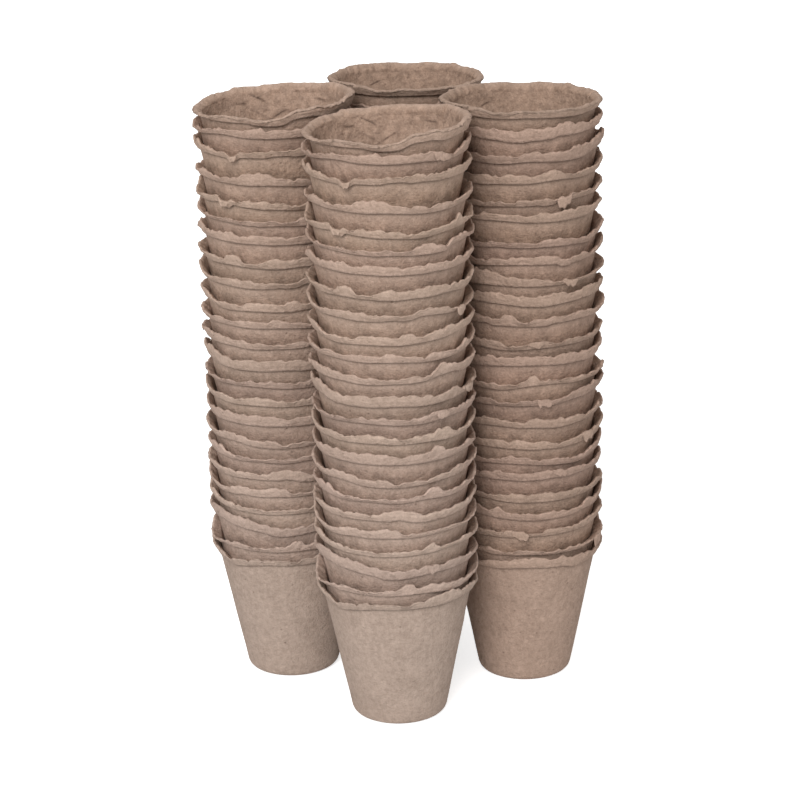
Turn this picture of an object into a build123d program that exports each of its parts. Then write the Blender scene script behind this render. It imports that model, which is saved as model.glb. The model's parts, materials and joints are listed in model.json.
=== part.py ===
from build123d import *
import math
import os
import random

# All lengths are in millimetres and all angles in degrees. The model is four stacks
# of nested, moulded fibre pots that stand side by side on the floor plane, z = 0.
# The origin is the middle of the four and +Z is up. From the front stack the right one
# lies along +X and the left one along +Y, within a few degrees.

# One pot
foot_radius = 23.2  # outside of the wall, run straight down to the floor
neck_radius = 36.8  # outside of the wall, just under the collar
neck_height = 67.2  # floor to the underside of the collar, on its mean line
wall = 1.25
floor_thickness = 1.6
foot_corner = 4.0  # outside radius between the wall and the floor
floor_corner = 3.0  # inside radius between the wall and the floor

# The collar is the flared lip that the mould leaves round the mouth
collar_height = 3.4  # underside to the torn edge
collar_step = 0.8  # how far its underside stands out from the wall
collar_flare = 2.4  # how much further out the torn edge leans
edge_thickness = 1.0
throat_drop = 0.5  # inside, the flare starts this far below the underside
collar_seat = 5.0  # below the underside, where the collar grows out of the wall

# How uneven the collars are
neck_ripple = 1.0  # up and down, along the underside
edge_ripple = 0.8  # up and down, along the torn edge
edge_sway = 0.45  # in and out, along the torn edge
lean_rise = 0.8  # one side of the mouth stands this much higher than the middle
crown_lean_rise = 2.6  # the same, on top of the front and left stacks
crown_turn = -39.5  # from +X, the way that the high side of those two faces
neck_lean_share = 0.4  # how much of the lean the underside follows
wave_shares = (0.4, 1.0)  # least and most of one wave's height
calm_shares = (0.3, 1.0)  # least and most of the underside's ripple in one form
neck_waves = (2, 3, 4, 5)  # waves in one turn round the mouth
sway_waves = (2, 3, 4, 5, 7)
edge_waves = (2, 3, 5, 7, 9, 11, 13)
ring_points = 40
plain_forms = 8  # different mouths, besides the one that leans most
form_seed = 20

# Nesting: how far each pot rises above the one that it sits in, from the floor up, as
# shares of the mean rise, at which the walls of two nested pots lie nest_gap apart
nest_gap = 0.714
side_clearance = 0.36  # the least gap between one pot's wall and the next
most_wander = 0.6  # how far a pot may stand off its stack's axis
front_pitch_shares = (
    0.82, 1.01, 1.04, 0.94, 0.88, 0.99, 0.89, 1.05, 0.97, 0.99, 0.94, 1.14,
    0.99, 0.98, 1.16, 1.00, 1.14, 0.96, 0.92, 1.04, 1.32, 1.02, 0.83,
)
right_pitch_shares = (
    0.87, 0.91, 1.04, 0.86, 1.04, 0.85, 0.98, 1.06, 1.18, 0.86, 1.14, 0.87,
    1.21, 1.02, 1.01, 1.04, 0.88, 1.28, 0.90, 1.04, 1.07, 1.12, 0.91,
)
single_pots = 6  # on top of each stack, one pot to a part
shared_pots = 2  # below those, pots to a part

# The four stacks
stack_gap = 2.1  # between the mouths of two stacks side by side, on their mean lines
right_bearing = -2.5  # from +X, looking from the front stack to the right one
left_bearing = 92.6  # from +X, looking from the front stack to the left one

# Worked out from the above
slope = (neck_radius - foot_radius) / neck_height
across = math.hypot(1, slope)  # a length measured level, over one square to the wall
wall_across = wall * across
nest_pitch = (wall + nest_gap) * across / slope
seat_height = neck_height - collar_seat
edge_radius = neck_radius + collar_step + collar_flare
stack_spacing = 2 * edge_radius + stack_gap
ring_steps = [i / ring_points for i in range(ring_points + 1)]
ring_angles = [2 * math.pi * step for step in ring_steps[:-1]]


def wall_radius(height):
    """Outside radius of the straight wall, at a height above the pot's own floor."""
    return foot_radius + slope * height


def ripple(chooser, waves, height):
    """A closed wavy line: cosines of whole numbers of waves, each with a height and
    a phase of its own, added up. It gives one value for each ring angle."""
    height_each = height / math.sqrt(len(waves))
    terms = [
        (count, height_each * chooser.uniform(*wave_shares), chooser.uniform(0, 2 * math.pi))
        for count in waves
    ]
    return [
        sum(rise * math.cos(count * angle + phase) for count, rise, phase in terms)
        for angle in ring_angles
    ]


def ring(radii, heights):
    """A closed spline through one point at each ring angle."""
    points = [
        (radius * math.cos(angle), radius * math.sin(angle), height)
        for radius, height, angle in zip(radii, heights, ring_angles)
    ]
    return Edge.make_spline(points, periodic=True, parameters=ring_steps)


def seat_ring(radius):
    """The level circle where the collar grows out of the wall."""
    return Edge.make_circle(radius, Plane.XY.offset(seat_height))


def collar_faces(seed, lean):
    """The uneven mouth: ruled faces from ring to ring, from the wall's outside, out
    under the collar, up to its torn edge and down the inside to the wall again."""
    chooser = random.Random(seed)
    calm = chooser.uniform(*calm_shares)
    neck = [
        neck_height + neck_lean_share * lean * math.cos(angle) + rise
        for angle, rise in zip(ring_angles, ripple(chooser, neck_waves, calm * neck_ripple))
    ]
    edge = [
        low + collar_height + (1 - neck_lean_share) * lean * math.cos(angle) + rise
        for low, angle, rise in zip(neck, ring_angles, ripple(chooser, edge_waves, edge_ripple))
    ]
    edge_radii = [edge_radius + sway for sway in ripple(chooser, sway_waves, edge_sway)]
    throat = [height - throat_drop for height in neck]
    rings = [
        seat_ring(wall_radius(seat_height)),
        ring([wall_radius(height) for height in neck], neck),
        ring([wall_radius(height) + collar_step for height in neck], neck),
        ring(edge_radii, edge),
        ring([radius - edge_thickness for radius in edge_radii], edge),
        ring([wall_radius(height) - wall_across for height in throat], throat),
        seat_ring(wall_radius(seat_height) - wall_across),
    ]
    return [Face.make_surface_from_curves(a, b) for a, b in zip(rings, rings[1:])]


def pot_form(seed, lean):
    """One pot on the origin: a turned cup, closed at its top by an uneven collar."""
    with BuildPart() as cup:
        with BuildSketch(Plane.XZ):
            with BuildLine():
                outside = Line((0, 0), (wall_radius(0), 0))
                side = Line(outside @ 1, (wall_radius(seat_height), seat_height))
                seat = Line(side @ 1, side @ 1 - (wall_across, 0))
                inside_foot = (wall_radius(floor_thickness) - wall_across, floor_thickness)
                inside = Line(seat @ 1, inside_foot)
                Line(inside @ 1, (0, floor_thickness))
                Line((0, floor_thickness), (0, 0))
            make_face()
            fillet(vertices().sort_by_distance((wall_radius(0), 0))[0], foot_corner)
            fillet(vertices().sort_by_distance(inside_foot)[0], floor_corner)
        revolve(axis=Axis.Z)
    seat_face = cup.faces().filter_by(Plane.XY).sort_by(Axis.Z)[-1]
    skins = [face for face in cup.faces() if face != seat_face]
    return Solid(Shell(skins + collar_faces(seed, lean)))


def stand(pitch_shares, seed):
    """Where the pots of one stack stand, from the floor up: a list of (x, y, z, turn,
    form). Each pot leans against one side of the pot that it sits in, so it stands
    off that pot's axis by what the two walls leave free, past their least gap."""
    chooser = random.Random(seed)
    x, y, z, form = 0, 0, 0, 0
    places = [(x, y, z, chooser.uniform(0, 360), form)]
    for share in pitch_shares:
        rise = nest_pitch * share
        free = max(0, rise * slope - (wall + side_clearance) * across)
        way = chooser.uniform(0, 2 * math.pi)
        if math.hypot(x + free * math.cos(way), y + free * math.sin(way)) > most_wander:
            way = math.atan2(-y, -x)
        x, y, z = x + free * math.cos(way), y + free * math.sin(way), z + rise
        form = (form + chooser.randint(1, plain_forms - 1)) % plain_forms
        places.append((x, y, z, chooser.uniform(0, 360), form))
    return places


def part_names(stack, count):
    """The parts of one stack from the floor up, as (name, its pots' numbers)."""
    names, pot = [], 0
    while pot < count:
        pots = range(pot, pot + (1 if pot >= count - single_pots else shared_pots))
        label = "_".join(f"{i + 1:02d}" for i in pots)
        names.append((f"{stack}_pot{'s' if len(pots) > 1 else ''}_{label}", pots))
        pot = pots[-1] + 1
    return names


forms = [pot_form(form_seed + i, lean_rise) for i in range(plain_forms)]
crown_form = pot_form(form_seed + plain_forms, crown_lean_rise)

right_way = Vector(stack_spacing, 0).rotate(Axis.Z, right_bearing)
left_way = Vector(stack_spacing, 0).rotate(Axis.Z, left_bearing)
front_middle = (right_way + left_way) * -0.5

# The name, the middle, the rises, the random draws and whether the top pot leans
stacks = (
    ("front", front_middle, front_pitch_shares, 1, True),
    ("left", front_middle + left_way, front_pitch_shares, 1, True),
    ("right", front_middle + right_way, right_pitch_shares, 2, False),
    ("back", front_middle * -1, right_pitch_shares, 2, False),
)

os.makedirs("parts", exist_ok=True)
for stack, middle, pitch_shares, seed, leaning_top in stacks:
    places = stand(pitch_shares, seed)
    for name, pots in part_names(stack, len(places)):
        with BuildPart() as nest:
            for pot in pots:
                x, y, z, turn, form = places[pot]
                body = forms[form]
                if leaning_top and pot == len(places) - 1:
                    body, turn = crown_form, crown_turn
                with Locations(Location(middle + Vector(x, y, z), (0, 0, turn))):
                    add(body)
        nest.part.label = name
        export_step(nest.part, f"parts/{name}.step")
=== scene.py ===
import json
import math
import random

import bpy
import numpy as np
from mathutils import Matrix, Vector


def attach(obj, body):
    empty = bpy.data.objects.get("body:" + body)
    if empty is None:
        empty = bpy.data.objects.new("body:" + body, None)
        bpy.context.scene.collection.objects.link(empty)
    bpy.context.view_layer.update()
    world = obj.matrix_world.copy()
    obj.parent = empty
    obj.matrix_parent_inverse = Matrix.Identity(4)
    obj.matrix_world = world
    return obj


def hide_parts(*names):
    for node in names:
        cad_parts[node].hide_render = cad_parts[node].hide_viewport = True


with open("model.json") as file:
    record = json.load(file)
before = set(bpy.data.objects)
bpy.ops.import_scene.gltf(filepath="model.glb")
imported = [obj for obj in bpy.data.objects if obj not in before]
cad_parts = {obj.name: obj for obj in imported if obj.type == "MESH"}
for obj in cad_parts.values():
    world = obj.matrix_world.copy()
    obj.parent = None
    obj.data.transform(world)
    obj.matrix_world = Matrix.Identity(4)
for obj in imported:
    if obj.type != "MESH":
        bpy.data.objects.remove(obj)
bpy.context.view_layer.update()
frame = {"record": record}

# Lengths are in millimetres and angles in degrees until a mesh is made. The sizes down
# to the stacks are those of the part's source, so every pot here lies on its own solid.
millimetre = 0.001

# One pot
foot_radius = 23.2
neck_radius = 36.8
neck_height = 67.2
wall = 1.25
floor_thickness = 1.6
foot_corner = 4.0
floor_corner = 3.0

# The collar
collar_height = 3.4
collar_step = 0.8
collar_flare = 2.4
throat_drop = 0.5

# How uneven the mouths of the solids are
neck_ripple = 1.0
edge_ripple = 0.8
edge_sway = 0.45
lean_rise = 0.8
crown_lean_rise = 2.6
crown_turn = -39.5
neck_lean_share = 0.4
wave_shares = (0.4, 1.0)
calm_shares = (0.3, 1.0)
neck_waves = (2, 3, 4, 5)
sway_waves = (2, 3, 4, 5, 7)
edge_waves = (2, 3, 5, 7, 9, 11, 13)
plain_forms = 8
form_seed = 20

# Nesting
nest_gap = 0.714
side_clearance = 0.36
most_wander = 0.6
front_pitch_shares = (
    0.82, 1.01, 1.04, 0.94, 0.88, 0.99, 0.89, 1.05, 0.97, 0.99, 0.94, 1.14,
    0.99, 0.98, 1.16, 1.00, 1.14, 0.96, 0.92, 1.04, 1.32, 1.02, 0.83,
)
right_pitch_shares = (
    0.87, 0.91, 1.04, 0.86, 1.04, 0.85, 0.98, 1.06, 1.18, 0.86, 1.14, 0.87,
    1.21, 1.02, 1.01, 1.04, 0.88, 1.28, 0.90, 1.04, 1.07, 1.12, 0.91,
)
single_pots = 6
shared_pots = 2

# The four stacks
stack_gap = 2.1
right_bearing = -2.5
left_bearing = 92.6

# How finely a pot is drawn
fine_columns = 352  # points round the collar
coarse_columns = 88  # points round the foot and the plain wall
corner_steps = 5  # points up the round of the foot
inner_corner_steps = 4
wall_levels = (10, 20, 30, 40, 48)  # heights of the plain wall's rows
wall_inset = 0.05  # how far the rows near the collar lie inside the solid's wall
wall_rows = (  # how far below the collar they lie, their stain and painted nest shade, and their painted crevice shade
    (14, 1, 0),
    (9, 1, 0),
    (5, 0.6, 0),
    (2, 0.2, 0),
    (0.5, 0.1, 0.5),
)
inside_rows = 44  # rows inside a top pot
inside_depth = 24.0  # how far below the throat they reach
inside_drop = 8  # how far below it the first row lies in a pot that holds another
inside_levels = (30, 15)  # heights of the last rows inside

# The collars, which dried into waves and tore
furthest_lip = 40.4  # no torn edge reaches out past this
least_band = 1.6  # from the underside to the torn edge
collar_waves = 17  # soft waves round the mouth, that underside and edge share
collar_wave_height = 0.55
collar_steps = 6  # places where the whole collar steps up or down
collar_step_height = 0.5
collar_step_widths = (0.03, 0.15)  # in radians round the mouth
edge_steps = 16  # places where the torn edge alone jumps
edge_jump = 0.42
edge_step_widths = (0.008, 0.05)
tongues = 5  # flat-topped bits that stand up from the torn edge
tongue_heights = (0.3, 1.7)
tongue_widths = (3.0, 8.0)
low_tongue_share = 0.4  # of that height, on about half of them
tuft_sizes = ((50, 0.42), (95, 0.42), (176, 0.4))  # how many round the mouth, height
plan_tufts = (90, 0.15)  # the same, in and out
crown_calm = 0.35  # how much of those waves and of that tearing the topmost mouths have
crown_edge_share = 0.6  # how much of the solid's waves their torn edges keep

# A collar cut across. The first rows go from its root, up into the crevice behind the
# band, down and out under it: out from the wall, up from the underside, and how much
# of the crevice's painted shade and of the lip's painted light each has
undercut = 0.9  # how far the band hangs down over its own root
band_foot = (
    (-0.2, 0.1, 1, 0),
    (0.3, 0.6 * undercut, 1, 0),
    (0.85, 0.25 * undercut, 1, 0),
    (1.05, -0.4 * undercut, 0.6, 1),
    (collar_step + 0.7, -0.33 * undercut, 0, 1),
)
band_shares = (0.14, 0.32, 0.5, 0.68, 0.84)  # how far up the band its rows lie
band_inset = 0.35  # how far its top is set in from the torn edge
band_bulge = (0.35, 0.45)  # at its ends, and how much more half way
lip_thickness = 1.4
crown_lip_thickness = 3.0
lip_tufts = (100, 0.3)  # how many round the mouth, and by what share they thicken it
lip_round = 0.3  # how much of its thickness the round of its edge goes down
lip_top = ((0.25, 0), (0.7, 0.02))  # how much of its thickness in, and how far up
lip_full = 0.16  # how much of its thickness it swells inside
flare_rows = ((0.62, 0.25), (0.28, 0))  # how far up the flare inside, how much of the lip's painted light
# painted shade in the crease at the throat
throat_shade = 0.1

# Lumps of the pulp, as (how many round the pot, how many up it, height)
band_lumps = ((60, 4, 0.17), (170, 7, 0.12))
lower_wall_lumps = ((11, 3, 0.22),)
upper_wall_lumps = ((40, 4, 0.12),)
inside_lumps = ((26, 4, 0.2), (90, 12, 0.16), (176, 22, 0.1))

# Loose bits of pulp that hang over a torn edge
scraps_each = (0, 0, 1, 1)  # how many on one collar, drawn from these
scrap_widths = (4.0, 11.0)
scrap_length_shares = (0.3, 0.6)  # of its width
scrap_thickness = 0.5
scrap_stations = 22
scrap_bends = 7  # places along a scrap where its end bends
scrap_bend = 0.3  # how much of its length those take or add
scrap_fray = 0.06  # the same, from point to point
scrap_least = 0.5  # how far down it hangs at its sides
scrap_curls = (0.45, 0.25)  # how far out it curls, and how much that changes
scrap_lift = (0.12, 0.2)  # over the torn edge, at its front and its back
scrap_rows = (0.0, 0.2, 0.45, 0.7, 0.9)  # down its outside, as shares of its length
scrap_rows_back = (0.85, 0.5, 0.15)  # and up its inside

# Short ledges inside a top pot, where a ply of the pulp ends
ply_lines = 28
ply_height = 0.6
ply_depths = (2, 20)
ply_slopes = (-0.8, 0.8)
ply_wave_height = 0.8
ply_wave_lengths = (1.0, 4.0)
ply_lengths = (2, 8)
ply_strengths = (0.35, 1)
ply_drop = 0.25  # how far down it drops
ply_return = 2.2  # how far down it comes back
ply_shade_width = 0.5  # how wide the painted shadow at its foot is

# What the nest hides: stains mixed with painted shade, and pots painted paler
deep_stain_and_shade = 0.3  # how stained and painted with shade the wall is further down than the next mouth
nested_painted_light = 1.2  # painted light: how much paler a pot inside the nest is, on the scale of the shades

# What single collars of the nests show, as (pot, angle, height, width): the photographer
# stands at the angle -90, and a height below nought goes down
front_marks = {
    "dips": (
        (24, -91, -1.5, 19), (24, -64, 1.5, 17), (22, -120, -1.6, 7),
        (20, -128, -2.2, 7), (22, -84, 0.9, 12), (16, -78, -1.0, 10),
    ),
    "tongues": (
        (21, -104, 3.2, 16), (19, -66, 1.8, 17), (17, -120, 1.5, 8), (13, -52, 2.4, 9),
        (10, -52, 2.6, 9), (9, -58, 2.2, 7), (7, -62, 2.4, 8), (5, -64, 1.6, 6),
        (4, -66, 2.2, 6), (1, -57, 2.2, 16),
    ),
    "scraps": (
        (23, -50, 4.4, 10.5), (20, -129, 3, 6), (22, -119, 3, 5.5), (11, -54, 4.2, 8),
        (3, -63, 4, 7),
    ),
}
right_marks = {
    "dips": ((20, -72, -1.2, 9), (23, -98, -0.9, 14), (17, -60, -1.2, 8)),
    "tongues": ((22, -88, 1.2, 9), (18, -70, 1.6, 12), (14, -104, 1.8, 8), (11, -86, 2, 5)),
    "scraps": (
        (20, -61, 5, 8.5), (16, -58, 3.4, 9), (10, -78, 4.2, 8), (8, -40, 5, 9),
        (6, -66, 3.6, 8),
    ),
}

# How far the photographer's way of facing is turned from +Y. The angles above, the
# camera and the lamp are turned with it: x to the right of the picture, y away from the
# photographer
view_turn = -39.5

# The camera, solved from the rims, feet and collar lines of the photograph
camera_from_front = (-0.49, -1161.44, 539.97)  # measured from the foot of the front stack
camera_yaw = 0.19
camera_pitch = 18.03
camera_roll = -1.23
camera_focal_pixels = 2524.4
photo_pixels = 800
sensor_width = 36.0
camera_reach = 100  # metres

# The fibre: its pale and its deep tone, and how much warmer it is on top of a stack
light_tones = ((0.575, 0.446, 0.376), (0.308, 0.23, 0.187), 1.22)
warm_tones = ((0.512, 0.366, 0.293), (0.259, 0.18, 0.138), 1.02)

# Its patterns, each a noise (waves to the metre, detail, stretch) and a slope (two values
# of the noise, and what it comes to at each). The first four mix the tones, the others
# take light away, as stains and flecks mixed with painted shade, from what the nest hides
# and from the insides
blotches = ((90, 3), (0.3, 0.7, 0, 0.24))
mottling = ((380, 4), (0.32, 0.68, 0, 0.34))
grains = ((1100, 3), (0.32, 0.68, 0, 0.3))
streaks = ((700, 2, (1, 1, 0.14)), (0.32, 0.68, 0, 0.12))
nest_stains_and_shade = ((160, 3), (0.4, 0.66, -0.08, 0.26))
inside_tufts = ((260, 4), (0.36, 0.62, 0.2, -0.08))
flecks = ((900, 3), (0.46, 0.72, 0, 0.24))

# Its specks
speck_brown = (0.115, 0.075, 0.055)
speck_scale = 210
speck_rarity = 0.72  # share of the places that have none
speck_slope = (0.03, 0.16, 0.6, 0)
speck_depth = 0.3  # as a share of the relief

# Its light, hue, relief and gloss, with slopes as above
inner_hidden = 0.7  # how much of the nest's flecks, redder tone and painted shade the insides have
# painted shade: how much darker the crevices are made
crevice_painted_shade = 0.5
shade_slope = (-1, 2.5, 0.93, 1.16)
# painted light: how much paler the lips are made
lip_painted_light_slope = (0, 1, 0.98, 1.08)
warmth_slope = (-1, 1, 0.4965, 0.5035)
hidden_saturation = 1.12
warmer_from, warmer_to = 0.04, 0.3  # metres up the stack
relief_noises = ((520, 5), (1500, 3))
fine_relief = 0.45  # the second of those, as a share of the first
relief_height = 0.9
fibre_gloss = 0.15
fibre_roughness = (1.0, 0.86)

# The light: a broad lamp, and the room
lamp_height = 34  # degrees above the floor
lamp_left = 14  # degrees to the left of the camera
lamp_angle = 26  # how broad it looks from the pots
lamp_strength = 2.15
room_strength = 0.52
room_colour = (1.0, 0.99, 0.98, 1)
floor_side = 12.0  # metres
floor_white = 0.86
floor_lift = 0.7  # how bright it glows where it is seen

# Worked out from the above
slope = (neck_radius - foot_radius) / neck_height
lean = math.atan(slope)
across = math.hypot(1, slope)
wall_across = wall * across
nest_pitch = (wall + nest_gap) * across / slope
edge_radius = neck_radius + collar_step + collar_flare
stack_spacing = 2 * edge_radius + stack_gap
fine_angles = np.arange(fine_columns) * 2 * np.pi / fine_columns
coarse_angles = np.arange(coarse_columns) * 2 * np.pi / coarse_columns
columns_each = fine_columns // coarse_columns
light_shade_stain_masks = ("lip", "crevice", "nested", "inner")


def wall_radius(height):
    """Outside radius of the straight wall, at a height above the pot's own floor."""
    return foot_radius + slope * height


def ripple(chooser, waves, height, angles):
    """A closed wavy line: cosines of whole numbers of waves, each with a height and a
    phase of its own, added up."""
    height_each = height / math.sqrt(len(waves))
    line = np.zeros_like(angles)
    for count in waves:
        rise = height_each * chooser.uniform(*wave_shares)
        line += rise * np.cos(count * angles + chooser.uniform(0, 2 * math.pi))
    return line


def mouth_lines(seed, lean_height, angles, edge_share):
    """The underside of the collar, its torn edge and the radius of that edge, as the
    part's source draws them, with that share of the edge's waves."""
    chooser = random.Random(seed)
    calm = chooser.uniform(*calm_shares)
    neck = neck_height + neck_lean_share * lean_height * np.cos(angles)
    neck = neck + ripple(chooser, neck_waves, calm * neck_ripple, angles)
    edge = neck + collar_height + (1 - neck_lean_share) * lean_height * np.cos(angles)
    edge = edge + ripple(chooser, edge_waves, edge_ripple * edge_share, angles)
    return neck, edge, edge_radius + ripple(chooser, sway_waves, edge_sway, angles)


def stand(pitch_shares, seed):
    """Where the pots of one stack stand, from the floor up: (x, y, z, turn, form)."""
    chooser = random.Random(seed)
    x, y, z, form = 0, 0, 0, 0
    places = [(x, y, z, chooser.uniform(0, 360), form)]
    for share in pitch_shares:
        rise = nest_pitch * share
        free = max(0, rise * slope - (wall + side_clearance) * across)
        way = chooser.uniform(0, 2 * math.pi)
        if math.hypot(x + free * math.cos(way), y + free * math.sin(way)) > most_wander:
            way = math.atan2(-y, -x)
        x, y, z = x + free * math.cos(way), y + free * math.sin(way), z + rise
        form = (form + chooser.randint(1, plain_forms - 1)) % plain_forms
        places.append((x, y, z, chooser.uniform(0, 360), form))
    return places


def part_names(stack, count):
    """The parts of one stack from the floor up, as (name, its pots' numbers)."""
    names, pot = [], 0
    while pot < count:
        pots = range(pot, pot + (1 if pot >= count - single_pots else shared_pots))
        label = "_".join(f"{i + 1:02d}" for i in pots)
        names.append((f"{stack}_pot{'s' if len(pots) > 1 else ''}_{label}", pots))
        pot = pots[-1] + 1
    return names


def smooth_lumps(chooser, rows, columns, around, up):
    """Soft lumps between -1 and 1 on a grid that closes on itself round the pot: random
    numbers on a coarse grid of up rows and around columns, joined by smooth steps."""
    coarse = chooser.uniform(-1, 1, (up + 1, around))
    along = np.arange(columns) * around / columns
    left = along.astype(int)
    share = along - left
    share = share * share * (3 - 2 * share)
    lines = coarse[:, left] * (1 - share) + coarse[:, (left + 1) % around] * share
    height = np.linspace(0, up, rows) if rows > 1 else np.zeros(1)
    low = np.minimum(height.astype(int), up - 1)
    rise = (height - low)[:, None]
    rise = rise * rise * (3 - 2 * rise)
    return lines[low] * (1 - rise) + lines[low + 1] * rise


def add_lumps(chooser, grid, sizes):
    """A grid of heights with several sizes of soft lumps added."""
    for around, up, height in sizes:
        grid = grid + smooth_lumps(chooser, *grid.shape, around, up) * height
    return grid


def tufts_round(chooser, count):
    """One line of soft lumps between -1 and 1 round the mouth."""
    return smooth_lumps(chooser, 1, fine_columns, count, 1)[0]


def stepped_line(chooser, angles, count, jump, sharpness):
    """A closed line that jumps up or down at random angles and runs level between them:
    each jump is a hyperbolic tangent of the turn from its angle, less a straight line
    that takes it back by the far side."""
    places = chooser.uniform(0, 2 * np.pi, count)
    jumps = chooser.normal(0, jump, count)
    jumps = jumps - jumps.mean()
    widths = chooser.uniform(*sharpness, count)
    turn = (angles[None, :] - places[:, None] + np.pi) % (2 * np.pi) - np.pi
    rises = 0.5 * np.tanh(turn / widths[:, None]) - turn / (2 * np.pi)
    return (jumps[:, None] * rises * 2).sum(0)


def collar_wave(chooser, angles):
    """The waves and steps that a whole collar dried into."""
    line = tufts_round(chooser, collar_waves) * collar_wave_height
    steps = stepped_line(chooser, angles, collar_steps, collar_step_height, collar_step_widths)
    return line + steps


def tongue(angles, angle, height, width):
    """A flat-topped rise of a line: e to the minus fourth power of the way from its
    middle, along the mouth, over half its width."""
    turn = (angles - math.radians(angle) + np.pi) % (2 * np.pi) - np.pi
    return height * np.exp(-((2 * edge_radius * turn / width) ** 4))


def torn_line(chooser, angles):
    """What tearing adds to the edge: small steps, a few tongues and three sizes of
    tufts."""
    line = stepped_line(chooser, angles, edge_steps, edge_jump, edge_step_widths)
    for _ in range(tongues):
        height = chooser.uniform(*tongue_heights) * chooser.choice([1, low_tongue_share])
        angle = chooser.uniform(0, 360)
        line = line + tongue(angles, angle, height, chooser.uniform(*tongue_widths))
    for count, height in tuft_sizes:
        line = line + height * tufts_round(chooser, count)
    return line


def ring_line(reach, level, **light_shade_stain):
    """One line round the pot, as its radius and height at each angle, and how much of
    each mask it has: lip (painted light), crevice (painted shade), nested (stain and
    painted shade) or inner, each from 0 to 1."""
    return {"reach": reach, "level": level, **light_shade_stain}


def lip_lines(neck, edge, radius, thickness, chooser):
    """The collar from its root, up into the crevice behind the band, down and out under
    the band, up over the rounded torn edge, and down the full inside to the crease at
    the throat."""
    root = wall_radius(neck)
    step = root + collar_step
    band = edge - neck
    lumps = add_lumps(chooser, np.zeros((len(band_shares) + 3, len(neck))), band_lumps)
    tip_lumps, top_lumps, flare_lumps = lumps[-3:]
    lines = [
        ring_line(root + out, neck + up, crevice=crevice, lip=lip)
        for out, up, crevice, lip in band_foot
    ]
    for share, lump in zip(band_shares, lumps):
        bulge = band_bulge[0] + band_bulge[1] * math.sin(math.pi * share)
        reach = step + (radius - band_inset - step) * share + bulge + lump
        lines.append(ring_line(np.minimum(reach, furthest_lip), neck + band * share, lip=1))
    tip = edge - lip_round * thickness
    throat = neck - throat_drop
    inside = wall_radius(throat) - wall_across
    full = lip_full * thickness
    lines.append(ring_line(np.minimum(radius + tip_lumps, furthest_lip), tip, lip=1))
    for share, rise in lip_top:
        reach = radius - share * thickness + top_lumps
        lines.append(ring_line(reach, edge + rise, lip=1))
    lines.append(ring_line(radius - thickness, tip - 0.1, lip=0.6, inner=0.5))
    for share, lip in flare_rows:
        swell = full * math.sin(math.pi * share)
        reach = inside + (radius - thickness - inside) * share - swell + flare_lumps
        lines.append(ring_line(reach, throat + (tip - throat) * share, lip=lip, inner=1))
    lines.append(ring_line(inside, throat, crevice=throat_shade, inner=1))
    return lines


def corner_lines(radius, level, corner, steps):
    """The round between the floor and the wall: an arc that leaves the floor level and
    meets the wall at its lean."""
    middle = radius - corner * (1 - math.sin(lean)) / math.cos(lean)
    turns = np.linspace(-math.pi / 2, -lean, steps)
    return [(middle + corner * math.cos(t), level + corner * (1 + math.sin(t))) for t in turns]


def ply_ledges(chooser, angles, depths):
    """Ledges inside a mouth: along a short wiggly line the surface drops at once, and
    comes back slowly below it, as the end of a ply does. The second result is how
    deep in such a fold a point lies, from 0 to 1, which is painted there as shadow."""
    relief = np.zeros((len(depths), len(angles)))
    fold_shades = np.zeros_like(relief)
    for _ in range(ply_lines):
        turn = (angles - chooser.uniform(0, 2 * np.pi) + np.pi) % (2 * np.pi) - np.pi
        along = turn * neck_radius
        line = chooser.uniform(*ply_slopes) * along
        line = line + ply_wave_height * np.sin(along / chooser.uniform(*ply_wave_lengths))
        below = depths[:, None] - (chooser.uniform(*ply_depths) + line)[None, :]
        strength = chooser.uniform(*ply_strengths)
        fade = strength * np.exp(-((along / chooser.uniform(*ply_lengths)) ** 4))[None, :]
        drop = 0.5 + 0.5 * np.tanh(below / ply_drop)
        relief += ply_height * fade * drop * np.exp(-np.maximum(below, 0) / ply_return)
        fold_shades = np.maximum(fold_shades, fade * np.exp(-((below / ply_shade_width) ** 2)))
    return relief, fold_shades


def level_ring(radius, level, **light_shade_stain):
    """A plain level circle of the cup."""
    return ring_line(np.full(coarse_columns, radius), np.full(coarse_columns, level), **light_shade_stain)


def pot_lines(neck, edge, radius, thickness, top, nested, chooser):
    """Every line of one pot, from the outside of its floor round to the inside, on the
    coarse columns for the cup and the fine ones for the collar."""
    foot = corner_lines(foot_radius, 0, foot_corner, corner_steps)
    lines = [level_ring(reach, level) for reach, level in foot]
    swell = np.zeros((len(wall_levels) + 1, coarse_columns))
    # in a pot that stands in another, the wall down in the nest gets stains and painted shade
    for level, rise in zip(wall_levels, add_lumps(chooser, swell, lower_wall_lumps)):
        lines.append(level_ring(wall_radius(level) + rise, level, nested=deep_stain_and_shade * nested))
    swell = np.zeros((len(wall_rows) + 1, fine_columns))
    for row, rise in zip(wall_rows, add_lumps(chooser, swell, upper_wall_lumps)):
        drop, stain_and_shade, crevice = row
        height = neck - drop
        reach = wall_radius(height) + rise - wall_inset
        lines.append(ring_line(reach, height, nested=stain_and_shade * nested, crevice=crevice))
    lines += lip_lines(neck, edge, radius, thickness, chooser)
    throat = neck - throat_drop
    depths = np.array([inside_drop])
    relief = fold_shades = np.zeros((1, fine_columns))
    if top:
        depths = np.linspace(0, inside_depth, inside_rows + 1)[1:]
        relief, fold_shades = ply_ledges(chooser, fine_angles, depths)
        relief = add_lumps(chooser, relief, inside_lumps)
    for depth, rise, fold_shade in zip(depths, relief, fold_shades):
        height = throat - depth
        reach = wall_radius(height) - wall_across + rise * min(1, depth / 2)
        # painted shadow at the foot of each ledge
        lines.append(ring_line(reach, height, inner=1, crevice=fold_shade))
    for level in inside_levels:
        lines.append(level_ring(wall_radius(level) - wall_across, level, inner=1))
    inner_foot = wall_radius(floor_thickness) - wall_across
    foot = corner_lines(inner_foot, floor_thickness, floor_corner, inner_corner_steps)
    lines += [level_ring(reach, level, inner=1) for reach, level in foot[::-1]]
    return lines


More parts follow.
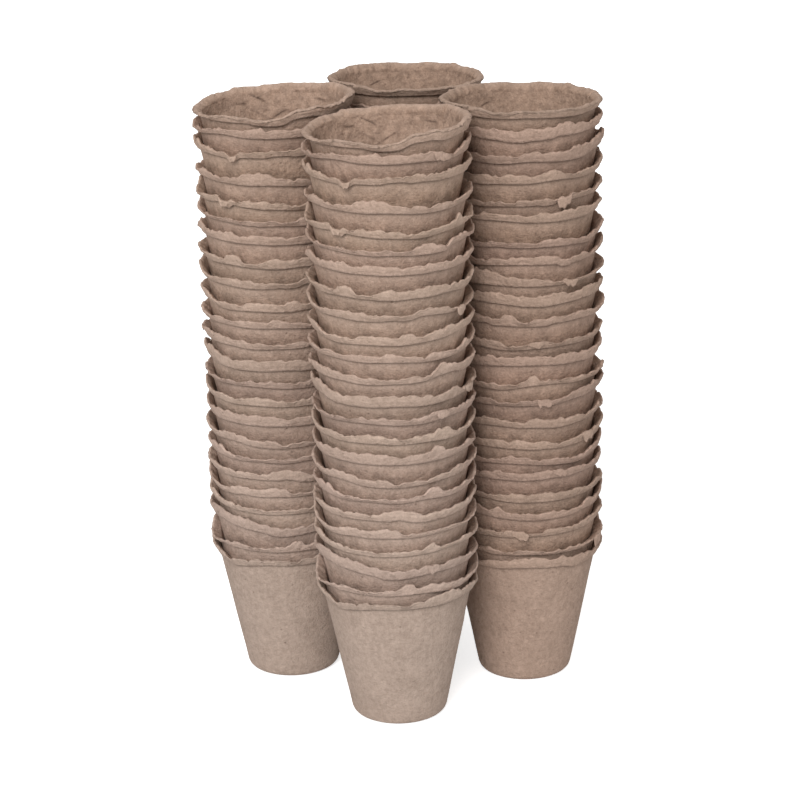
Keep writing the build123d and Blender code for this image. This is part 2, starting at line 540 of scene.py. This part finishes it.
def pot_mesh(place, lines):
    """Points and faces of one pot. Each line is a ring round the axis; neighbours with
    the same number of points are joined by four-sided faces, a coarse ring and a fine
    one by faces that take one coarse side and its fine ones, and the two floors close
    on a middle point."""
    x, y, z = place
    points, starts, counts = [np.array([[x, y, z]])], [], []
    total = 1
    for line in lines:
        reach, level = line["reach"], line["level"]
        angles = fine_angles if len(reach) == fine_columns else coarse_angles
        ring = np.stack([x + reach * np.cos(angles), y + reach * np.sin(angles), z + level], 1)
        points.append(ring)
        starts.append(total)
        counts.append(len(reach))
        total += len(reach)
    points.append(np.array([[x, y, z + floor_thickness]]))
    faces = []
    first = starts[0] + np.arange(counts[0])
    faces.append(np.stack([np.zeros_like(first), np.roll(first, -1), first], 1))
    for below, above, low, high in zip(starts, starts[1:], counts, counts[1:]):
        if low == high:
            a = below + np.arange(low)
            b = above + np.arange(high)
            faces.append(np.stack([a, np.roll(a, -1), np.roll(b, -1), b], 1))
            continue
        coarse_start, fine_start = (below, above) if low < high else (above, below)
        a = np.arange(coarse_columns)[:, None]
        fine = (a * columns_each + np.arange(columns_each, -1, -1)) % fine_columns
        coarse = [coarse_start + a, coarse_start + (a + 1) % coarse_columns]
        fan = np.concatenate([*coarse, fine_start + fine], 1)
        faces.append(fan if low < high else fan[:, ::-1])
    last = starts[-1] + np.arange(counts[-1])
    faces.append(np.stack([np.full_like(last, total), last, np.roll(last, -1)], 1))
    return np.concatenate(points), faces


def scrap_mesh(place, angle, width, length, edge, radius, chooser):
    """A loose bit of pulp folded out over the torn edge: a flat loop, out over the edge,
    down, round its own ragged end and up again, carried along the collar. It is longest
    at its middle and closes at both ends."""
    share = np.linspace(0, 1, scrap_stations)
    angles = angle + (share - 0.5) * width / edge_radius
    level = np.interp(angles, fine_angles, edge, period=2 * np.pi)
    reach = np.interp(angles, fine_angles, radius, period=2 * np.pi)
    bends = 1 + scrap_bend * chooser.uniform(-1, 1, scrap_bends)
    ragged = np.interp(share, np.linspace(0, 1, scrap_bends), bends)
    ragged = ragged + scrap_fray * chooser.uniform(-1, 1, scrap_stations)
    round_end = (1 - np.abs(2 * share - 1) ** 3) ** 0.6
    drop = scrap_least + (length - scrap_least) * round_end * ragged
    full = np.clip(4 * np.minimum(share, 1 - share), 0.25, 1)
    curl = scrap_curls[0] + scrap_curls[1] * chooser.uniform(-1, 1, scrap_stations)
    start = level + scrap_lift[0] * full
    loop = []
    for down in scrap_rows:
        out = reach + curl * math.sin(math.pi * min(1, 0.25 + down)) * full
        loop.append((np.minimum(out, furthest_lip), start - down * drop))
    loop.append((loop[-1][0] - 0.35 * scrap_thickness * full, start - drop))
    for down in scrap_rows_back:
        out, _ = loop[round(down * (len(scrap_rows) - 1))]
        loop.append((out - scrap_thickness * full, level - down * drop))
    loop.append((reach - 0.9 * scrap_thickness, level + scrap_lift[1] * full))
    x, y, z = place
    rings = [
        np.stack([x + out * np.cos(angles), y + out * np.sin(angles), z + height], 1)
        for out, height in loop
    ]
    points = np.stack(rings, 1)
    count = len(loop)
    grid = np.arange(scrap_stations * count).reshape(scrap_stations, count)
    after = np.roll(grid, -1, 1)
    faces = np.stack([grid[:-1], after[:-1], after[1:], grid[1:]], 2).reshape(-1, 4)
    return points.reshape(-1, 3), [faces, grid[:1, ::-1], grid[-1:]]


def make_piece(name, bodies, material):
    """One mesh object from several sets of points and faces, with each point's values
    for the pot's shade and warmth and for its masks of painted light, painted shade and stain."""
    points = np.concatenate([body["points"] for body in bodies]) * millimetre
    corners, sizes, offset = [], [], 0
    for body in bodies:
        for group in body["faces"]:
            corners.append((group + offset).ravel())
            sizes.append(np.full(len(group), group.shape[1]))
        offset += len(body["points"])
    corners = np.concatenate(corners)
    sizes = np.concatenate(sizes)
    mesh = bpy.data.meshes.new(name)
    mesh.vertices.add(len(points))
    mesh.vertices.foreach_set("co", points.ravel())
    mesh.loops.add(len(corners))
    mesh.loops.foreach_set("vertex_index", corners)
    mesh.polygons.add(len(sizes))
    mesh.polygons.foreach_set("loop_start", np.cumsum(sizes) - sizes)
    mesh.polygons.foreach_set("use_smooth", np.ones(len(sizes), bool))
    mesh.update(calc_edges=True)
    for label in ("shade", "warmth", *light_shade_stain_masks):
        attribute = mesh.attributes.new(label, "FLOAT", "POINT")
        values = np.concatenate([body[label] for body in bodies])
        attribute.data.foreach_set("value", values.astype(np.float32))
    mesh.materials.append(material)
    piece = bpy.data.objects.new(name, mesh)
    bpy.context.scene.collection.objects.link(piece)
    return piece


def marked(marks, kind, pot):
    """What that pot's collar shows of that kind, as (angle, height, width)."""
    return [mark[1:] for mark in marks[kind] if mark[0] == pot + 1]


def pot_bodies(place, pot, seed, form, turn, lean_height, top, marks):
    """One pot of the pulp, with its own tearing on the solid's mouth lines, and the
    scraps that hang on its collar."""
    chooser = np.random.default_rng(seed)
    turned = fine_angles - math.radians(turn)
    neck, edge, radius = mouth_lines(form, lean_height, turned, crown_edge_share if top else 1)
    calm = crown_calm if top else 1
    wave = collar_wave(chooser, fine_angles) * calm
    torn = torn_line(chooser, fine_angles) * calm
    for angle, height, width in marked(marks, "dips", pot):
        wave = wave + tongue(fine_angles, angle + view_turn, height, width)
    for angle, height, width in marked(marks, "tongues", pot):
        torn = torn + tongue(fine_angles, angle + view_turn, height, width)
    neck = neck + wave
    edge = np.maximum(edge + wave + torn, neck + least_band)
    count, sway = plan_tufts
    radius = np.minimum(radius + tufts_round(chooser, count) * sway, furthest_lip)
    count, thicker = lip_tufts
    thickness = crown_lip_thickness if top else lip_thickness
    thickness = thickness * (1 + thicker * tufts_round(chooser, count))
    lines = pot_lines(neck, edge, radius, thickness, top, 1 if pot else 0, chooser)
    points, faces = pot_mesh(place, lines)
    shade, warmth = chooser.uniform(-1, 1, 2)
    # painted light: a pot inside the nest is made paler
    shade += nested_painted_light if pot else 0
    light_shade_stain = {}
    for label in light_shade_stain_masks:
        values = [np.broadcast_to(line.get(label, 0), len(line["reach"])) for line in lines]
        light_shade_stain[label] = np.concatenate([[0], *values, [0]])
    bodies = [{"points": points, "faces": faces, **light_shade_stain}]
    scraps = marked(marks, "scraps", pot)
    for _ in range(0 if top else chooser.choice(scraps_each)):
        width = chooser.uniform(*scrap_widths)
        angle = chooser.uniform(0, 360)
        scraps.append((angle, width * chooser.uniform(*scrap_length_shares), width))
    for angle, length, width in scraps:
        around = math.radians(angle + view_turn)
        points, faces = scrap_mesh(place, around, width, length, edge, radius, chooser)
        # a scrap gets the lips' painted light
        light_shade_stain = {label: np.full(len(points), float(label == "lip")) for label in light_shade_stain_masks}
        bodies.append({"points": points, "faces": faces, **light_shade_stain})
    for body in bodies:
        body["shade"] = np.full(len(body["points"]), shade)
        body["warmth"] = np.full(len(body["points"]), warmth)
    return bodies


def node(tree, kind, **settings):
    """A shader node of that kind, with its settings by name."""
    made = tree.nodes.new(kind)
    for key, value in settings.items():
        setattr(made, key, value)
    return made


def fibre_material(name, pale, deep, warmest):
    """Moulded peat fibre: two tones of brown mixed by blotches, mottling, grain and
    upright streaks, and dark specks. Stains and flecks mixed with painted shade darken what
    the nest hides and the insides, painted shade darkens the crevices, and painted light
    makes the lips and the pots inside the nest paler. It gets warmer up the stack and is
    rough all over, with pits and tufts as bump."""
    material = bpy.data.materials.new(name)
    material.use_nodes = True
    tree = material.node_tree
    tree.nodes.clear()
    link = tree.links.new
    place = node(tree, "ShaderNodeTexCoord").outputs["Object"]

    def noise(scale, detail, stretch=None):
        source = place
        if stretch:
            stretched = node(tree, "ShaderNodeMapping")
            stretched.inputs["Scale"].default_value = stretch
            link(place, stretched.inputs["Vector"])
            source = stretched.outputs["Vector"]
        made = node(tree, "ShaderNodeTexNoise")
        made.inputs["Scale"].default_value = scale
        made.inputs["Detail"].default_value = detail
        made.inputs["Roughness"].default_value = 0.6
        link(source, made.inputs["Vector"])
        return made.outputs["Fac"]

    def spread(value, low, high, to_low, to_high):
        made = node(tree, "ShaderNodeMapRange")
        ends = {"From Min": low, "From Max": high, "To Min": to_low, "To Max": to_high}
        for label, number in ends.items():
            made.inputs[label].default_value = number
        link(value, made.inputs["Value"])
        return made.outputs["Result"]

    def join(operation, first, *others):
        for other in others:
            made = node(tree, "ShaderNodeMath", operation=operation)
            for socket, value in zip(made.inputs, (first, other)):
                if isinstance(value, (int, float)):
                    socket.default_value = value
                else:
                    link(value, socket)
            first = made.outputs["Value"]
        return first

    def mix(share, low, high):
        made = node(tree, "ShaderNodeMix", data_type="RGBA")
        link(share, made.inputs[0])
        for socket, colour in zip(made.inputs[6:8], (low, high)):
            if isinstance(colour, tuple):
                socket.default_value = (*colour, 1)
            else:
                link(colour, socket)
        return made.outputs[2]

    def attribute(label):
        return node(tree, "ShaderNodeAttribute", attribute_name=label).outputs["Fac"]

    def pattern(kind):
        source, ends = kind
        return spread(noise(*source), *ends)

    mottle = pattern(mottling)
    tone = join("ADD", pattern(blotches), mottle, pattern(grains), pattern(streaks))
    colour = mix(tone, deep, pale)

    specks = node(tree, "ShaderNodeTexVoronoi")
    specks.inputs["Scale"].default_value = speck_scale
    link(place, specks.inputs["Vector"])
    chosen = join("GREATER_THAN", specks.outputs["Color"], speck_rarity)
    speck = join("MULTIPLY", spread(specks.outputs["Distance"], *speck_slope), chosen)
    colour = mix(speck, colour, speck_brown)

    nested, inner = attribute("nested"), attribute("inner")
    hidden = join("MAXIMUM", nested, join("MULTIPLY", inner, inner_hidden))
    # painted shade, mixed with stains and flecks: what the nest hides, the insides and the
    # crevices are darkened
    taken = join(
        "ADD",
        join("MULTIPLY", nested, pattern(nest_stains_and_shade)),
        join("MULTIPLY", inner, pattern(inside_tufts)),
        join("MULTIPLY", hidden, pattern(flecks)),
        join("MULTIPLY", attribute("crevice"), crevice_painted_shade),
    )
    left = join("SUBTRACT", 1.0, taken)
    # the pot's own tone, with the painted light that makes pots inside the nest paler
    shade = spread(attribute("shade"), *shade_slope)
    # painted light: the lips are made paler
    lip = spread(attribute("lip"), *lip_painted_light_slope)

    parts = node(tree, "ShaderNodeSeparateXYZ")
    link(place, parts.inputs["Vector"])
    up_stack = spread(parts.outputs["Z"], warmer_from, warmer_to, 1.0, warmest)
    finished = node(tree, "ShaderNodeHueSaturation")
    link(join("MULTIPLY", shade, lip, left), finished.inputs["Value"])
    saturation = join("MULTIPLY", spread(hidden, 0, 1, 1.0, hidden_saturation), up_stack)
    link(saturation, finished.inputs["Saturation"])
    link(spread(attribute("warmth"), *warmth_slope), finished.inputs["Hue"])
    link(colour, finished.inputs["Color"])

    coarse, fine = (noise(*source) for source in relief_noises)
    relief = join("ADD", coarse, join("MULTIPLY", fine, fine_relief))
    bump = node(tree, "ShaderNodeBump")
    bump.inputs["Strength"].default_value = 1.0
    bump.inputs["Distance"].default_value = relief_height * millimetre
    link(join("SUBTRACT", relief, join("MULTIPLY", speck, speck_depth)), bump.inputs["Height"])

    shader = node(tree, "ShaderNodeBsdfPrincipled")
    shader.inputs["Specular IOR Level"].default_value = fibre_gloss
    roughness = spread(mottle, 0, mottling[1][-1], *fibre_roughness)
    link(roughness, shader.inputs["Roughness"])
    link(finished.outputs["Color"], shader.inputs["Base Color"])
    link(bump.outputs["Normal"], shader.inputs["Normal"])
    link(shader.outputs["BSDF"], node(tree, "ShaderNodeOutputMaterial").inputs["Surface"])
    return material


def seen_white(tree):
    """A value of 1 for what the camera sees straight, in a gloss or through glass."""
    paths = node(tree, "ShaderNodeLightPath")
    seen = paths.outputs["Is Camera Ray"]
    for label in ("Is Glossy Ray", "Is Transmission Ray"):
        added = node(tree, "ShaderNodeMath", operation="ADD", use_clamp=True)
        tree.links.new(seen, added.inputs[0])
        tree.links.new(paths.outputs[label], added.inputs[1])
        seen = added.outputs[0]
    return seen


def studio_floor():
    """A white table top that keeps the pots' shadow: matt white, lifted a little where
    it is seen, so that open floor comes out white."""
    half = floor_side / 2
    mesh = bpy.data.meshes.new("table_top")
    corners = [(-half, -half, 0), (half, -half, 0), (half, half, 0), (-half, half, 0)]
    mesh.from_pydata(corners, [], [(0, 1, 2, 3)])
    floor = bpy.data.objects.new("table_top", mesh)
    bpy.context.scene.collection.objects.link(floor)
    material = bpy.data.materials.new("white_table")
    material.use_nodes = True
    tree = material.node_tree
    tree.nodes.clear()
    matt = node(tree, "ShaderNodeBsdfDiffuse")
    matt.inputs["Color"].default_value = (floor_white, floor_white, floor_white, 1)
    lift = node(tree, "ShaderNodeMath", operation="MULTIPLY")
    lift.inputs[1].default_value = floor_lift
    tree.links.new(seen_white(tree), lift.inputs[0])
    glow = node(tree, "ShaderNodeEmission")
    tree.links.new(lift.outputs[0], glow.inputs["Strength"])
    both = node(tree, "ShaderNodeAddShader")
    tree.links.new(matt.outputs[0], both.inputs[0])
    tree.links.new(glow.outputs[0], both.inputs[1])
    tree.links.new(both.outputs[0], node(tree, "ShaderNodeOutputMaterial").inputs["Surface"])
    mesh.materials.append(material)


def room_light():
    """Even light from all round, and white behind the pots."""
    world = bpy.data.worlds.new("studio")
    world.use_nodes = True
    bpy.context.scene.world = world
    tree = world.node_tree
    tree.nodes.clear()
    seen = node(tree, "ShaderNodeBackground")
    seen.inputs["Color"].default_value = (1, 1, 1, 1)
    seen.inputs["Strength"].default_value = 1.0
    glow = node(tree, "ShaderNodeBackground")
    glow.inputs["Color"].default_value = room_colour
    glow.inputs["Strength"].default_value = room_strength
    chosen = node(tree, "ShaderNodeMixShader")
    tree.links.new(seen_white(tree), chosen.inputs[0])
    tree.links.new(glow.outputs[0], chosen.inputs[1])
    tree.links.new(seen.outputs[0], chosen.inputs[2])
    tree.links.new(chosen.outputs[0], node(tree, "ShaderNodeOutputWorld").inputs["Surface"])


def soft_lamp():
    """One very broad lamp, high in front and a little to the left."""
    lamp = bpy.data.lights.new("soft_lamp", "SUN")
    lamp.angle = math.radians(lamp_angle)
    lamp.energy = lamp_strength
    holder = bpy.data.objects.new("soft_lamp", lamp)
    left, height = math.radians(lamp_left), math.radians(lamp_height)
    place = Vector((-math.sin(left), -math.cos(left), 0)) * math.cos(height)
    place += Vector((0, 0, math.sin(height)))
    place.rotate(Matrix.Rotation(math.radians(view_turn), 4, "Z"))
    holder.matrix_world = (-place).to_track_quat("-Z", "Y").to_matrix().to_4x4()
    bpy.context.scene.collection.objects.link(holder)


def photo_camera():
    """The photograph's camera, from its place, its three angles and its focal length."""
    yaw, pitch, roll = (math.radians(a) for a in (camera_yaw, camera_pitch, camera_roll))
    ahead = np.array(
        [math.sin(yaw) * math.cos(pitch), math.cos(yaw) * math.cos(pitch), -math.sin(pitch)]
    )
    level = np.array([math.cos(yaw), -math.sin(yaw), 0])
    upright = np.cross(level, ahead)
    right = math.cos(roll) * level + math.sin(roll) * upright
    up = -math.sin(roll) * level + math.cos(roll) * upright
    camera = bpy.data.cameras.new("photo_camera")
    camera.sensor_width = sensor_width
    camera.lens = sensor_width * camera_focal_pixels / photo_pixels
    camera.clip_end = camera_reach
    holder = bpy.data.objects.new("photo_camera", camera)
    axes = np.eye(4)
    axes[:3, 0], axes[:3, 1], axes[:3, 2] = right, up, -ahead
    axes[:3, 3] = np.array(camera_from_front) * millimetre
    foot = Matrix.Translation((*(front_middle * millimetre), 0))
    turn = Matrix.Rotation(math.radians(view_turn), 4, "Z")
    holder.matrix_world = foot @ turn @ Matrix(axes.tolist())
    bpy.context.scene.collection.objects.link(holder)
    bpy.context.scene.camera = holder


def bearing(degrees):
    """The point one stack spacing away from the front stack, at that bearing."""
    turn = math.radians(degrees)
    return np.array([math.cos(turn), math.sin(turn)]) * stack_spacing


right_way = bearing(right_bearing)
left_way = bearing(left_bearing)
front_middle = (right_way + left_way) * -0.5

# The rises, the random draws, whether the top pot leans, what the collars show and the
# finish. The left stack is made like the front one, the back one like the right one
light_fibre = fibre_material("light_fibre", *light_tones)
warm_fibre = fibre_material("warm_fibre", *warm_tones)
light_stack = (front_pitch_shares, 1, True, front_marks, light_fibre, "fibre_light")
warm_stack = (right_pitch_shares, 2, False, right_marks, warm_fibre, "fibre_warm")
stacks = (
    ("front", front_middle, light_stack),
    ("left", front_middle + left_way, light_stack),
    ("right", front_middle + right_way, warm_stack),
    ("back", front_middle * -1, warm_stack),
)

bodies_of_frame = frame["record"]["behaviour"]["bodies"]
body_of_node = {name: body for body, names in bodies_of_frame.items() for name in names}
for stack, middle, kind in stacks:
    pitch_shares, seed, leaning_top, marks, material, slot = kind
    places = stand(pitch_shares, seed)
    for name, pots in part_names(stack, len(places)):
        bodies = []
        for pot in pots:
            x, y, z, turn, form = places[pot]
            top = pot == len(places) - 1
            form, lean_height = form_seed + form, lean_rise
            if top and leaning_top:
                form, turn, lean_height = form_seed + plain_forms, crown_turn, crown_lean_rise
            place = (middle[0] + x, middle[1] + y, z)
            bodies += pot_bodies(place, pot, seed * 100 + pot, form, turn, lean_height, top, marks)
        piece = make_piece(f"{name}_pulp", bodies, material)
        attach(piece, body_of_node[name])
        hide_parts(name)

photo_camera()
studio_floor()
room_light()
soft_lamp()
bpy.context.scene.view_settings.view_transform = "Standard"
